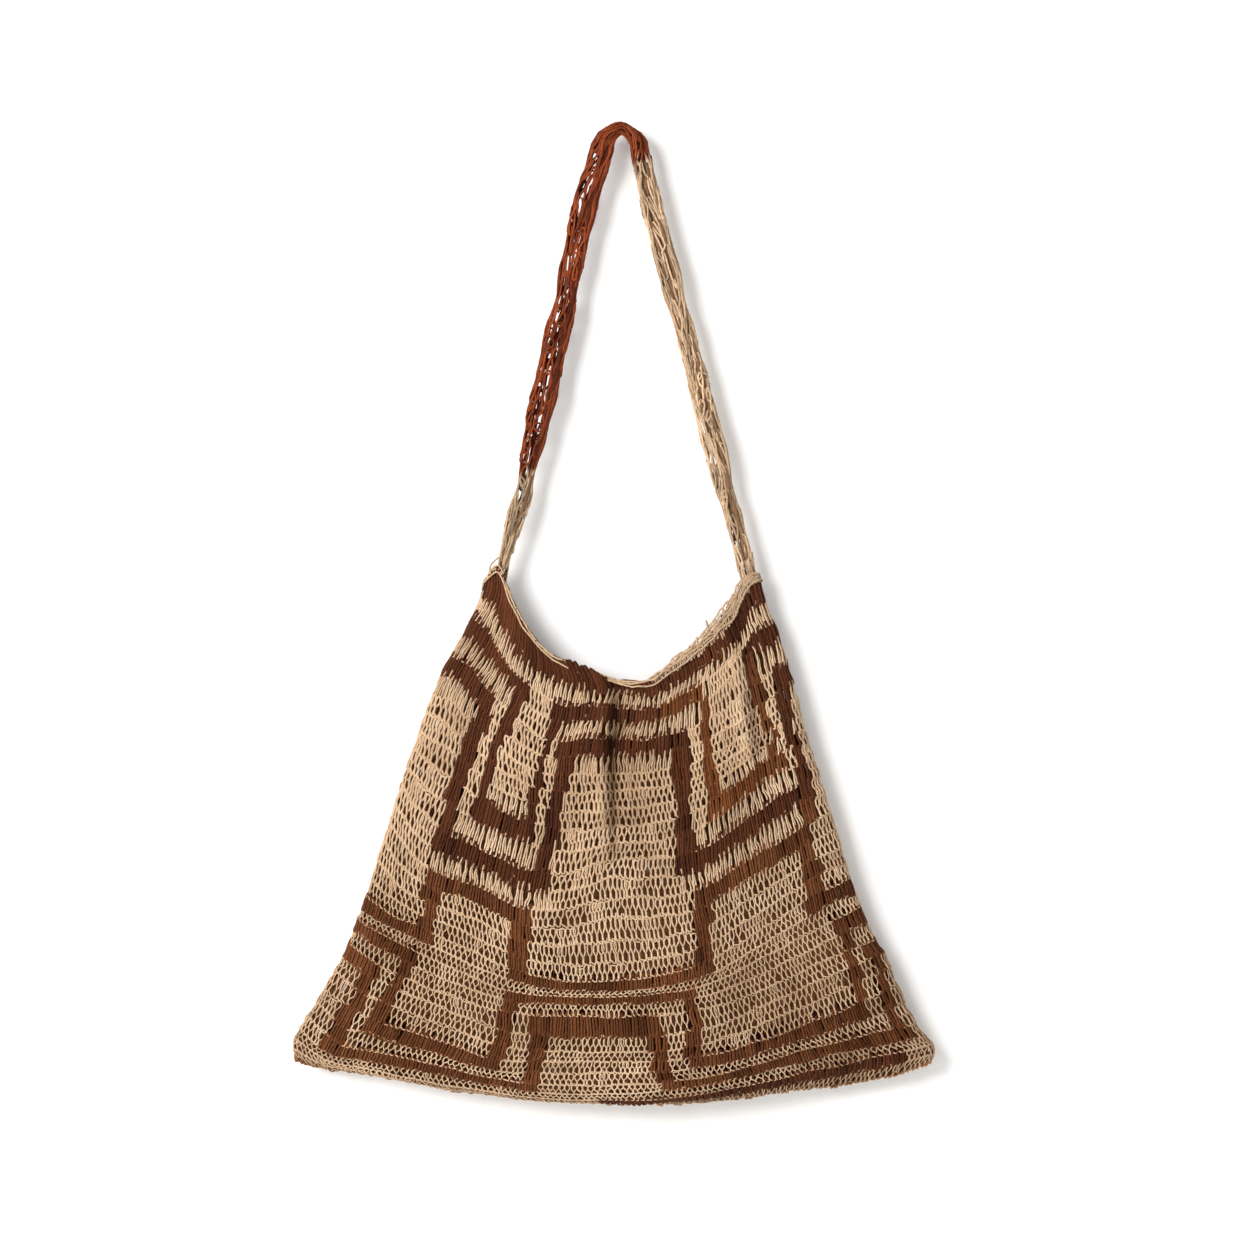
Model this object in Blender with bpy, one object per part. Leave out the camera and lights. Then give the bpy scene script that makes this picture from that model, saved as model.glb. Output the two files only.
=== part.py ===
"""A looped string bag (bilum): a flared bag of looped string, its looped edging and its rolled strap.

Frame: metres, +Z up, the front towards -Y, the origin under the strap's bend, where a peg holds it.
The tables hold places in units of the measured outline, across and down; UNIT makes them metres.
"""

import math

import bpy
import numpy as np

# Driving sizes
UNIT = 0.00062  # metres for one unit of the tables
ORIGIN_ACROSS = 620.0  # where the peg is, in the tables' units
ORIGIN_DOWN = 135.4
WALL = 0.0024  # thickness of the looped net, two strings deep
GAP = 0.0004  # clear space between two pieces
STRAP_WALL = 0.0017
SLIT_ANGLE = math.radians(24)  # half the open seam along the back of the rolled strap

# Detail of the meshes
HALF_RING = 44  # steps from one side of the bag to the other
EDGING_HALF_RING = 30
BODY_RINGS = 26
STRAP_RINGS = 58
STRAP_ARC = 13

# Fractions of the width, from the left side to the right, at which ROWS gives heights
ACROSS = (0.0, 0.05, 0.1, 0.2, 0.3, 0.4, 0.5, 0.6, 0.7, 0.8, 0.9, 0.95, 1.0)

# One row for each looped course measured: course, left side, right side, then its drop at ACROSS
ROWS = (
    (0.0, 488, 760, 576, 580, 607, 646, 664, 674, 683, 682, 665, 645, 613, 587, 581),
    (1.0, 481, 766, 596, 606, 637, 669, 683, 690, 692, 696, 679, 657, 634, 609, 600),
    (2.5, 467, 779, 625, 638, 660, 694, 711, 714, 715, 712, 698, 680, 650, 640, 633),
    (4.5, 445, 791, 665, 670, 690, 725, 749, 750, 749, 746, 738, 722, 697, 684, 674),
    (9.5, 410, 813, 757, 776, 789, 817, 833, 842, 835, 834, 825, 801, 771, 762, 756),
    (11.5, 397, 823, 793, 822, 842, 859, 880, 881, 868, 867, 864, 840, 811, 798, 788),
    (13.5, 386, 834, 830, 860, 877, 891, 913, 915, 906, 905, 896, 870, 844, 831, 821),
    (17.5, 363, 854, 903, 917, 928, 950, 971, 983, 984, 979, 966, 938, 908, 894, 886),
    (19.5, 355, 864, 924, 938, 952, 975, 996, 1000, 1001, 998, 988, 964, 938, 925, 914),
    (21.5, 346, 880, 948, 966, 980, 1002, 1019, 1025, 1026, 1024, 1012, 990, 965, 954, 945),
    (24.5, 320, 901, 994, 1018, 1030, 1047, 1065, 1065, 1063, 1062, 1053, 1035, 1015, 1003, 990),
    (26.5, 303, 922, 1022, 1050, 1057, 1068, 1081, 1089, 1088, 1084, 1072, 1054, 1040, 1035, 1030),
    (28.5, 292, 931, 1042, 1061, 1068, 1081, 1091, 1098, 1100, 1098, 1088, 1075, 1062, 1055, 1048),
    (30.0, 292, 935, 1060, 1069, 1072, 1084, 1094, 1100, 1103, 1104, 1098, 1090, 1080, 1074, 1062),
)
LAST_ROW = 30.0

# How far the bag stands out, in metres: course, towards the front, towards the back
DEPTHS = (
    (0.0, 0.0125, 0.0090),
    (4.5, 0.0145, 0.0100),
    (11.5, 0.0175, 0.0110),
    (19.5, 0.0200, 0.0120),
    (30.0, 0.0200, 0.0125),
)
SIDE_ROUNDNESS = 2.6  # superellipse power of the section
ROUNDED_BOTTOM = 5.0  # courses over which the depth closes to the bottom fold

# Soft folds in the front: course where each starts and ends, its place across at both, width and
# depth in metres. A negative depth is a ridge.
FOLDS = (
    # start  end  across at start, at end  width  depth
    (-3.0, 12.0, 0.470, 0.520, 0.0085, 0.0038),
    (-2.0, 11.0, 0.945, 0.890, 0.0080, 0.0026),
    (-1.0, 9.0, 0.400, 0.360, 0.0130, -0.0014),
    (-2.0, 10.0, 0.080, 0.130, 0.0110, 0.0018),
    (10.0, 27.0, 0.300, 0.330, 0.0240, -0.0020),
    (9.0, 24.0, 0.720, 0.650, 0.0260, -0.0018),
    (14.0, 30.0, 0.110, 0.060, 0.0200, 0.0022),
    (15.0, 30.0, 0.880, 0.940, 0.0220, 0.0020),
)

# The edging's height above the bag's rim, in metres: fraction across, height
EDGING_HEIGHTS = (
    (0.0, 0.0012),
    (0.5, 0.0013),
    (0.62, 0.0019),
    (0.70, 0.0030),
    (0.80, 0.0066),
    (0.88, 0.0080),
    (0.95, 0.0030),
    (1.0, 0.0014),
)

# The strap from its left end over the peg to its right end: across, down, width, depth
STRAP_PATH = (
    (503.0, 568.5, 12.0, 9.5),
    (506.0, 552.0, 13.0, 9.0),
    (511.0, 533.0, 16.0, 8.5),
    (521.0, 500.0, 19.0, 8.5),
    (530.0, 460.0, 20.5, 8.5),
    (538.5, 420.0, 25.0, 8.5),
    (547.5, 380.0, 24.5, 8.5),
    (556.0, 340.0, 25.5, 8.5),
    (566.0, 296.0, 24.5, 9.0),
    (577.5, 240.0, 24.0, 9.0),
    (587.5, 195.0, 24.0, 9.5),
    (599.0, 155.0, 20.5, 10.5),
    (605.5, 139.5, 17.5, 11.5),
    (620.0, 128.0, 14.0, 12.0),
    (634.5, 139.5, 16.5, 11.5),
    (640.0, 155.0, 18.5, 10.5),
    (649.0, 195.0, 21.0, 9.5),
    (660.3, 240.0, 20.5, 9.0),
    (673.8, 290.0, 21.0, 9.0),
    (687.0, 340.0, 21.5, 8.5),
    (697.5, 380.0, 21.5, 8.5),
    (707.0, 420.0, 22.5, 8.5),
    (718.0, 460.0, 22.0, 8.5),
    (728.0, 500.0, 19.5, 8.5),
    (739.5, 540.0, 18.5, 9.0),
    (747.0, 572.0, 18.5, 10.0),
)
LUMP_SIZE = 0.00035  # how far the strap's rolled edge wanders in and out


def smooth(knots, values, places):
    """Values at these places on the smooth curve through the knots, each knot keeping its own slope."""
    knots = np.asarray(knots, float)
    values = np.asarray(values, float)
    places = np.clip(np.asarray(places, float), knots[0], knots[-1])
    slopes = np.gradient(values, knots, axis=0)
    index = np.clip(np.searchsorted(knots, places, side="right") - 1, 0, len(knots) - 2)
    step = knots[index + 1] - knots[index]
    part = (places - knots[index]) / step
    if values.ndim > 1:
        step = step[..., None]
        part = part[..., None]
    start = (1 + 2 * part) * (1 - part) ** 2 * values[index]
    leave = part * (1 - part) ** 2 * step * slopes[index]
    end = part**2 * (3 - 2 * part) * values[index + 1]
    arrive = part**2 * (part - 1) * step * slopes[index + 1]
    return start + leave + end + arrive


def fold_depth(across, course, width):
    """How far the front is pushed back by its soft folds at a place across a course of this width."""
    pushed = np.zeros_like(across)
    for start, end, first, last, size, depth in FOLDS:
        along = (course - start) / (end - start)
        if not 0 < along < 1:
            continue
        strength = math.sin(math.pi * along) ** 0.7
        away = (across - (first + (last - first) * along)) * width / size
        pushed += depth * strength * np.exp(-(away**2))
    return pushed


def bag_point(across, course, front):
    """Points of the bag's outer face: fractions across, one course, and the front or the back."""
    table = np.array(ROWS, float)
    here = smooth(table[:, 0], table[:, 1:], np.array([course]))[0]
    left = (here[0] - ORIGIN_ACROSS) * UNIT
    right = (here[1] - ORIGIN_ACROSS) * UNIT
    width = right - left
    drop = smooth(ACROSS, here[2:], across)
    depths = np.array(DEPTHS)
    out = smooth(depths[:, 0], depths[:, 1:], np.array([course]))[0]
    closing = max(0.0, course - (LAST_ROW - ROUNDED_BOTTOM)) / ROUNDED_BOTTOM
    out = out * math.sqrt(max(0.0, 1 - closing**2))
    edge = np.abs(2 * across - 1) ** SIDE_ROUNDNESS
    section = np.clip(1 - edge, 0, 1) ** (1 / SIDE_ROUNDNESS)
    points = np.empty((len(across), 3))
    points[:, 0] = left + across * width
    points[:, 2] = -(drop - ORIGIN_DOWN) * UNIT
    if front:
        points[:, 1] = -out[0] * section + fold_depth(across, course, width) * section
    else:
        points[:, 1] = out[1] * section
    return points


def ring_places(steps):
    """Fractions across, closer together near the two sides, where the net turns to the back."""
    even = np.linspace(0, 1, steps + 1)
    return 0.3 * even + 0.7 * (1 - np.cos(math.pi * even)) / 2


def bag_ring(course, steps):
    """One closed ring round the bag: the left side, the front, the right side, then the back."""
    places = ring_places(steps)
    front = bag_point(places, course, True)
    back = bag_point(places, course, False)
    return np.concatenate([front, back[-2:0:-1]])


def new_object(name, points, faces, color, roughness):
    """A mesh object with its own material, faces turned outwards."""
    mesh = bpy.data.meshes.new(name)
    mesh.from_pydata([tuple(point) for point in points], [], faces)
    mesh.validate()
    mesh.shade_smooth()
    material = bpy.data.materials.new(name + "_material")
    material.use_nodes = True
    shader = material.node_tree.nodes["Principled BSDF"]
    shader.inputs["Base Color"].default_value = (*color, 1.0)
    shader.inputs["Roughness"].default_value = roughness
    mesh.materials.append(material)
    thing = bpy.data.objects.new(name, mesh)
    bpy.context.scene.collection.objects.link(thing)
    return thing


def band_faces(rings, size, closed):
    """Quads between rings of this many points, with the last ring joined to the first if closed."""
    faces = []
    for ring in range(rings if closed else rings - 1):
        after = (ring + 1) % rings
        for spot in range(size):
            beside = (spot + 1) % size
            faces.append(
                (
                    ring * size + spot,
                    ring * size + beside,
                    after * size + beside,
                    after * size + spot,
                )
            )
    return faces


def build_bag_body():
    """The net bag as one open-mouthed shell, closed along its bottom fold."""
    even = np.linspace(0, 1, BODY_RINGS)
    courses = (LAST_ROW - 0.35) * even
    size = 2 * HALF_RING
    rings = [bag_ring(course, HALF_RING) for course in courses]
    fold = bag_point(ring_places(HALF_RING), LAST_ROW, True)
    faces = band_faces(BODY_RINGS, size, False)
    last = (BODY_RINGS - 1) * size
    base = BODY_RINGS * size
    for spot in range(size):
        beside = (spot + 1) % size
        under = spot if spot <= HALF_RING else size - spot
        under_beside = beside if beside <= HALF_RING else size - beside
        corners = [last + spot, last + beside, base + under_beside, base + under]
        faces.append(tuple(corners))
    points = np.concatenate([*rings, fold])
    faces = [corners[::-1] for corners in faces]
    thing = new_object("bag_body", points, faces, (0.60, 0.44, 0.29), 0.9)
    solid = thing.modifiers.new("net_thickness", "SOLIDIFY")
    solid.thickness = WALL
    solid.offset = -1.0
    solid.use_even_offset = True
    solid.use_rim = True
    return thing


def unit(vectors):
    return vectors / np.linalg.norm(vectors, axis=1, keepdims=True)


def build_edging():
    """The looped edging as a closed ring that stands on the bag's rim, widest at the right."""
    rim = bag_ring(0.0, EDGING_HALF_RING)
    below = bag_ring(0.25, EDGING_HALF_RING)
    along = unit(np.roll(rim, -1, axis=0) - np.roll(rim, 1, axis=0))
    down = below - rim
    down = unit(down - along * np.sum(down * along, axis=1, keepdims=True))
    outward = unit(np.cross(down, along))
    places = ring_places(EDGING_HALF_RING)
    places = np.concatenate([places, places[-2:0:-1]])
    heights = np.interp(places, *np.array(EDGING_HEIGHTS).T)
    middle = rim - outward * WALL / 2
    # the section: out from the middle of the wall, and up from the rim as a share of the height
    section = (
        (-0.46, 0.0),
        (0.46, 0.0),
        (0.50, 0.45),
        (0.28, 1.0),
        (-0.28, 1.0),
        (-0.50, 0.45),
    )
    points = []
    for spot in range(len(middle)):
        for side, rise in section:
            lift = GAP + rise * heights[spot]
            points.append(middle[spot] + outward[spot] * side * WALL - down[spot] * lift)
    faces = band_faces(len(middle), len(section), True)
    return new_object("mouth_edging", points, faces, (0.66, 0.49, 0.33), 0.9)


def strap_stations():
    """Points, widths and depths along the strap, in metres, evenly spaced along its length."""
    table = np.array(STRAP_PATH)
    place = (table[:, :2] - (ORIGIN_ACROSS, ORIGIN_DOWN)) * (UNIT, -UNIT)
    length = np.concatenate([[0], np.cumsum(np.linalg.norm(np.diff(place, axis=0), axis=1))])
    bend = length[np.argmin(table[:, 1])]
    even = np.linspace(-1, 1, STRAP_RINGS)
    shaped = 0.35 * even + 0.65 * even**3
    spots = np.where(shaped < 0, bend * (1 + shaped), bend + (length[-1] - bend) * shaped)
    path = smooth(length, place, spots)
    sizes = smooth(length, table[:, 2:] * UNIT, spots)
    return spots, path, sizes


def build_strap():
    """The strap as a band rolled lengthwise, with its open seam along the back."""
    spots, path, sizes = strap_stations()
    ahead = np.gradient(path, axis=0)
    ahead = unit(ahead)
    side = np.stack([-ahead[:, 1], ahead[:, 0]], axis=1)
    turn = np.linspace(SLIT_ANGLE, 2 * math.pi - SLIT_ANGLE, STRAP_ARC)
    points = []
    for spot, centre, across, (width, depth) in zip(spots, path, side, sizes):
        lump = LUMP_SIZE * (math.sin(spot * 410) + 0.7 * math.sin(spot * 993 + 1.3))
        outer_half = (width / 2 + lump, depth / 2)
        inner_half = (outer_half[0] - STRAP_WALL, max(outer_half[1] - STRAP_WALL, 0.0006))
        for (half_width, half_depth), angles in ((outer_half, turn), (inner_half, turn[::-1])):
            for angle in angles:
                shift = half_width * math.sin(angle)
                back = half_depth * math.cos(angle)
                points.append(
                    (centre[0] + across[0] * shift, back, centre[1] + across[1] * shift)
                )
    size = 2 * STRAP_ARC
    faces = band_faces(STRAP_RINGS, size, False)
    for ring, flip in ((0, True), (STRAP_RINGS - 1, False)):
        for spot in range(STRAP_ARC - 1):
            low = ring * size + spot
            high = ring * size + size - 1 - spot
            corners = (low, low + 1, high - 1, high)
            faces.append(corners[::-1] if flip else corners)
    return new_object("strap", points, faces, (0.30, 0.09, 0.04), 0.9)


def face_outwards(thing):
    """Turns a closed mesh's faces outwards if they point inwards."""
    mesh = thing.data
    mesh.calc_loop_triangles()
    corners = np.array([[mesh.vertices[v].co for v in t.vertices] for t in mesh.loop_triangles])
    if np.linalg.det(corners).sum() < 0:
        mesh.flip_normals()


for old in list(bpy.data.objects):
    bpy.data.objects.remove(old)

body = build_bag_body()
edging = build_edging()
strap = build_strap()
for ring_shaped in (edging, strap):
    face_outwards(ring_shaped)
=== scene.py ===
# %% [markdown]
# # A looped string bag, hung by its strap
#
# The bag is a net: one long string is drawn through the row above it, loop by loop, and dyed
# string is worked in where a stripe is wanted. There is no cloth underneath, so the net itself has
# to be the shape. This lesson works out the bag's surface first, then lays every loop of string on
# it as a thin closed tube.

# %% The fixed frame and its box
import math

import bpy
import numpy as np
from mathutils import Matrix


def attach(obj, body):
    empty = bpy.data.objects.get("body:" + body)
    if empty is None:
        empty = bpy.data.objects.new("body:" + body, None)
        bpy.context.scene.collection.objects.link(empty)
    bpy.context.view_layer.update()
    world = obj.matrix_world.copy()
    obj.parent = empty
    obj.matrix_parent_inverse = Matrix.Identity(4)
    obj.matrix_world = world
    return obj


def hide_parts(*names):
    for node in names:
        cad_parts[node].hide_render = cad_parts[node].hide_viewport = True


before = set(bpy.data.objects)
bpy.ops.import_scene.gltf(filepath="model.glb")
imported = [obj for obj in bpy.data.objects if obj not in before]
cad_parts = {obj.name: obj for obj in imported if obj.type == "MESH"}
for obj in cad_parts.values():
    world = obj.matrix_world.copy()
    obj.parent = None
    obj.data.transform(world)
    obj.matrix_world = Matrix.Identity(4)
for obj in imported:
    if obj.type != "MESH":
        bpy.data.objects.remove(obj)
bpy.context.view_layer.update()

# %% [markdown]
# ## Units of the drawing
#
# Every table below keeps its places as distances across and down from one corner of a drawing, in
# small units. One number turns them into metres, and one point of the drawing, where the peg
# carries the strap, is the origin.

# %% Units and the chance numbers
UNIT = 0.00062
PEG_ACROSS, PEG_DOWN = 620.0, 135.4
chance = np.random.default_rng(41)


def place(across, down, depth=0.0):
    """A point of the drawing in metres: (across - peg) * unit, depth, (peg - down) * unit."""
    return ((across - PEG_ACROSS) * UNIT, depth, (PEG_DOWN - down) * UNIT)


print("One unit is", UNIT * 1000, "mm")

# %% [markdown]
# ## Camera
#
# A long lens from two metres away flattens the view, as in a catalogue picture of something hung
# on a wall. The camera looks straight along +Y at the middle of the drawing.

# %% Camera
CAMERA_DISTANCE = 2.05
FRAME_WIDTH = 1254 * UNIT

camera = bpy.data.objects.new("camera", bpy.data.cameras.new("camera"))
camera.data.sensor_width = 36.0
camera.data.lens = 18.0 * CAMERA_DISTANCE / (FRAME_WIDTH / 2)
camera.location = place(627.0, 627.0, -CAMERA_DISTANCE)
camera.rotation_euler = (math.pi / 2, 0, 0)
camera.data.clip_end = 50
bpy.context.scene.collection.objects.link(camera)
bpy.context.scene.camera = camera
print("Lens", round(camera.data.lens, 1), "mm")

# %% [markdown]
# ## Shader maths that reads like maths
#
# A material is a graph of nodes. This class wraps one output, so adding or multiplying two of
# them makes the Math node, and one method makes every other kind of node.


# %% A wrapped socket
class Flow:
    """One output of a shader node, with the operators that make Math nodes from it."""

    def __init__(self, tree, socket=None):
        self.tree = tree
        self.socket = socket

    def node(self, kind, settings=None, output=0, **inputs):
        """A new node of this kind: settings first, then the values or links of its inputs."""
        made = self.tree.nodes.new("ShaderNode" + kind)
        for name, value in (settings or {}).items():
            if name == "stops":
                stops = made.color_ramp.elements
                for stop, (spot, colour) in zip(stops, value):
                    stop.position = spot
                    stop.color = colour
            else:
                setattr(made, name, value)
        for name, value in inputs.items():
            numbered = name[0] == "n" and name[1:].isdigit()
            socket = made.inputs[int(name[1:]) if numbered else name.replace("_", " ")]
            if isinstance(value, Flow):
                self.tree.links.new(value.socket, socket)
            else:
                socket.default_value = value
        return Flow(self.tree, made.outputs[output])

    def maths(self, operation, first, second=0.0):
        return self.node("Math", {"operation": operation}, n0=first, n1=second)

    def __add__(self, other):
        return self.maths("ADD", self, other)

    def __radd__(self, other):
        return self.maths("ADD", other, self)

    def __sub__(self, other):
        return self.maths("SUBTRACT", self, other)

    def __rsub__(self, other):
        return self.maths("SUBTRACT", other, self)

    def __mul__(self, other):
        return self.maths("MULTIPLY", self, other)

    def __rmul__(self, other):
        return self.maths("MULTIPLY", other, self)

    def cosine(self):
        return self.maths("COSINE", self)


def new_material(name):
    """A material with its Principled shader, and a Flow that makes nodes in its graph."""
    material = bpy.data.materials.new(name)
    material.use_nodes = True
    return material, material.node_tree.nodes["Principled BSDF"], Flow(material.node_tree)


def linear(red, green, blue):
    """A screen colour of 0 to 255 as linear light: ((c + 0.055) / 1.055) ** 2.4."""
    return tuple(((c / 255 + 0.055) / 1.055) ** 2.4 for c in (red, green, blue))


# %% [markdown]
# ## Wall, floor and light
#
# The bag hangs against a pale wall. A broad lamp from the upper left makes the soft shadow to its
# right, and a wide weak one fills the front. The wall lets light through from behind and shows
# only its front, so that the bag can also be looked at from the back.


# %% Stage
def stage_plane(name, corners, material):
    """A flat four-cornered backdrop that isn't part of the object."""
    mesh = bpy.data.meshes.new(name)
    mesh.from_pydata(corners, [], [(0, 1, 2, 3)])
    mesh.materials.append(material)
    thing = bpy.data.objects.new(name, mesh)
    bpy.context.scene.collection.objects.link(thing)
    return thing


def one_sided_plaster():
    """White plaster where it is seen from its front, and nothing from behind or to a lamp."""
    material, shader, flow = new_material("wall_plaster")
    shader.inputs["Base Color"].default_value = (0.93, 0.93, 0.93, 1)
    shader.inputs["Roughness"].default_value = 0.9
    shader.inputs["Specular IOR Level"].default_value = 0.0
    behind = flow.node("NewGeometry", output=6)
    to_lamp = flow.node("LightPath", output=1)
    hidden = flow.maths("MAXIMUM", behind, to_lamp)
    clear = flow.node("BsdfTransparent")
    mixed = flow.node("MixShader", n0=hidden, n1=Flow(flow.tree, shader.outputs[0]), n2=clear)
    flow.tree.links.new(mixed.socket, flow.tree.nodes["Material Output"].inputs["Surface"])
    return material


WALL_DEPTH = 0.0140
FLOOR_HEIGHT = -0.78
WIDE = 4.0
SIDES = ((-WIDE, -1), (WIDE, -1), (WIDE, 1), (-WIDE, 1))
stage_plane(
    "wall",
    [(across, WALL_DEPTH, FLOOR_HEIGHT if end < 0 else WIDE) for across, end in SIDES],
    one_sided_plaster(),
)
floor_finish, floor_shader, _ = new_material("floor_finish")
floor_shader.inputs["Base Color"].default_value = (0.86, 0.86, 0.85, 1)
floor_shader.inputs["Roughness"].default_value = 0.8
stage_plane(
    "floor",
    [(across, end * WIDE, FLOOR_HEIGHT) for across, end in SIDES],
    floor_finish,
)


def lamp(name, location, aim, size, power):
    """A square soft lamp at a location, turned to shine at a point."""
    light = bpy.data.lights.new(name, "AREA")
    light.size = size
    light.energy = power
    thing = bpy.data.objects.new(name, light)
    thing.location = location
    away = np.array(location) - np.array(aim)
    flat = math.hypot(away[0], away[1])
    thing.rotation_euler = (math.atan2(flat, away[2]), 0, math.atan2(away[0], -away[1]))
    bpy.context.scene.collection.objects.link(thing)
    return thing


BAG_MIDDLE = place(620, 700)
lamp("key_lamp", (-1.55, -1.80, 0.55), BAG_MIDDLE, 1.25, 74)
lamp("fill_lamp", (0.5, -2.6, 0.4), BAG_MIDDLE, 2.2, 16)
lamp("back_lamp", (0.9, 2.3, 0.5), BAG_MIDDLE, 2.4, 14)
world = bpy.data.worlds.new("pale_room")
world.use_nodes = True
world.node_tree.nodes["Background"].inputs["Color"].default_value = (1, 0.965, 0.93, 1)
world.node_tree.nodes["Background"].inputs["Strength"].default_value = 0.22
bpy.context.scene.world = world
bpy.context.scene.view_settings.view_transform = "Standard"
print("Wall", WALL_DEPTH, "m behind the peg, floor at", FLOOR_HEIGHT, "m")

# %% [markdown]
# ## The bag's surface as a function
#
# The net hangs in curved courses. A table holds fifteen of them: how far each reaches to the
# left and right, and how far it drops at thirteen places across. A smooth curve through the rows
# gives any place between them, so the surface is a function of two numbers: how far round the bag,
# and which course.

# %% Tables of the bag
ACROSS = (0.0, 0.05, 0.1, 0.2, 0.3, 0.4, 0.5, 0.6, 0.7, 0.8, 0.9, 0.95, 1.0)
COURSE_TABLE = (
    # course, left side, right side, then its drop at ACROSS
    (0.0, 485, 761, 580, 569, 602, 646, 664, 674, 683, 681, 663, 642, 610, 585, 578),
    (1.0, 481, 766, 596, 611, 646, 671, 685, 693, 693, 696, 682, 663, 643, 613, 601),
    (2.5, 467, 779, 625, 638, 660, 694, 713, 711, 716, 714, 698, 680, 648, 637, 632),
    (4.5, 445, 791, 665, 671, 692, 727, 748, 746, 747, 745, 738, 722, 697, 684, 674),
    (9.5, 410, 813, 757, 776, 789, 815, 831, 840, 834, 831, 820, 795, 765, 757, 752),
    (11.5, 397, 823, 793, 821, 840, 858, 878, 880, 867, 866, 860, 834, 805, 793, 784),
    (13.5, 386, 834, 830, 860, 877, 891, 913, 915, 906, 905, 896, 870, 844, 831, 821),
    (17.5, 363, 854, 903, 917, 928, 950, 971, 983, 984, 979, 966, 938, 908, 894, 886),
    (19.5, 355, 864, 924, 938, 951, 973, 992, 996, 997, 994, 985, 962, 937, 925, 914),
    (21.0, 348, 876, 942, 960, 973, 994, 1008, 1012, 1013, 1011, 1002, 983, 959, 948, 939),
    (22.0, 342, 884, 955, 974, 986, 1007, 1026, 1033, 1034, 1032, 1020, 997, 973, 962, 952),
    (24.5, 320, 901, 994, 1016, 1027, 1043, 1061, 1063, 1063, 1062, 1053, 1036, 1016, 1005, 992),
    (26.5, 303, 922, 1022, 1047, 1053, 1064, 1077, 1086, 1086, 1082, 1071, 1053, 1040, 1035, 1030),
    (28.5, 292, 935, 1042, 1061, 1068, 1081, 1091, 1098, 1100, 1098, 1088, 1075, 1062, 1055, 1048),
    (30.0, 293, 932, 1060, 1069, 1072, 1084, 1094, 1100, 1103, 1104, 1098, 1090, 1080, 1074, 1062),
)
COURSES = 30
# How far the bag stands out, in metres: course, towards the front, towards the back
DEPTHS = (
    (0.0, 0.0125, 0.0090),
    (4.5, 0.0145, 0.0100),
    (11.5, 0.0175, 0.0110),
    (19.5, 0.0200, 0.0120),
    (30.0, 0.0200, 0.0125),
)
SIDE_ROUNDNESS = 2.6
ROUNDED_BOTTOM = 5.0
NET_MIDDLE = 0.0012  # from the surface to the middle of the net
# Soft folds: course where each starts and ends, place across at both, width and depth in metres
FOLDS = (
    (-3.0, 12.0, 0.470, 0.520, 0.0085, 0.0038),
    (-2.0, 11.0, 0.945, 0.890, 0.0080, 0.0026),
    (-1.0, 9.0, 0.400, 0.360, 0.0130, -0.0014),
    (-2.0, 10.0, 0.080, 0.130, 0.0110, 0.0018),
    (10.0, 27.0, 0.300, 0.330, 0.0240, -0.0020),
    (9.0, 24.0, 0.720, 0.650, 0.0260, -0.0018),
    (14.0, 30.0, 0.110, 0.060, 0.0200, 0.0022),
    (15.0, 30.0, 0.880, 0.940, 0.0220, 0.0020),
)


def smooth(knots, values, places):
    """The cubic through the knots, each with its own slope: Hermite's (1+2t)(1-t)^2 and t(1-t)^2."""
    knots = np.asarray(knots, float)
    values = np.asarray(values, float)
    places = np.clip(np.asarray(places, float), knots[0], knots[-1])
    slopes = np.gradient(values, knots, axis=0)
    index = np.clip(np.searchsorted(knots, places, side="right") - 1, 0, len(knots) - 2)
    step = knots[index + 1] - knots[index]
    part = (places - knots[index]) / step
    if values.ndim > 1:
        step = step[..., None]
        part = part[..., None]
    start = (1 + 2 * part) * (1 - part) ** 2 * values[index]
    leave = part * (1 - part) ** 2 * step * slopes[index]
    end = part**2 * (3 - 2 * part) * values[index + 1]
    arrive = part**2 * (part - 1) * step * slopes[index + 1]
    return start + leave + end + arrive


def fold_depth(across, course, width):
    """Depth of the folds: each is depth * sin(pi * along)^0.7 * exp(-(distance / size)^2)."""
    pushed = np.zeros_like(across)
    for start, end, first, last, size, depth in FOLDS:
        along = (course - start) / (end - start)
        if not 0 < along < 1:
            continue
        away = (across - (first + (last - first) * along)) * width / size
        pushed += depth * math.sin(math.pi * along) ** 0.7 * np.exp(-(away**2))
    return pushed


def bag_row(across, course, front):
    """Points of one course: the section is (1 - |2f - 1|^p)^(1/p), times how far it stands out."""
    table = np.array(COURSE_TABLE, float)
    here = smooth(table[:, 0], table[:, 1:], np.array([course]))[0]
    left, right = (here[:2] - PEG_ACROSS) * UNIT
    drop = smooth(ACROSS, here[2:], across)
    depths = np.array(DEPTHS)
    out = smooth(depths[:, 0], depths[:, 1:], np.array([course]))[0]
    closing = max(0.0, course - (COURSES - ROUNDED_BOTTOM)) / ROUNDED_BOTTOM
    out = out * math.sqrt(max(0.0, 1 - closing**2))
    edge = np.abs(2 * across - 1) ** SIDE_ROUNDNESS
    section = np.clip(1 - edge, 0, 1) ** (1 / SIDE_ROUNDNESS)
    points = np.empty((len(across), 3))
    points[:, 0] = left + across * (right - left)
    points[:, 2] = (PEG_DOWN - drop) * UNIT
    if front:
        points[:, 1] = (fold_depth(across, course, right - left) - out[0]) * section
    else:
        points[:, 1] = out[1] * section
    return points


# %% [markdown]
# ## A grid of the surface, even along each course
#
# Loops are evenly spaced along the string's course, not along a ruler held across the bag. So
# each course is measured, and the grid's columns are placed at even shares of its length: 0 to 1
# across the front and 1 to 2 back across the rear. Reading between the grid's points is then all
# that a loop needs.

# %% The surface grid
GRID_COLUMNS = 320
ROWS_A_COURSE = 5
FIRST_ROW = -0.6


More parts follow.
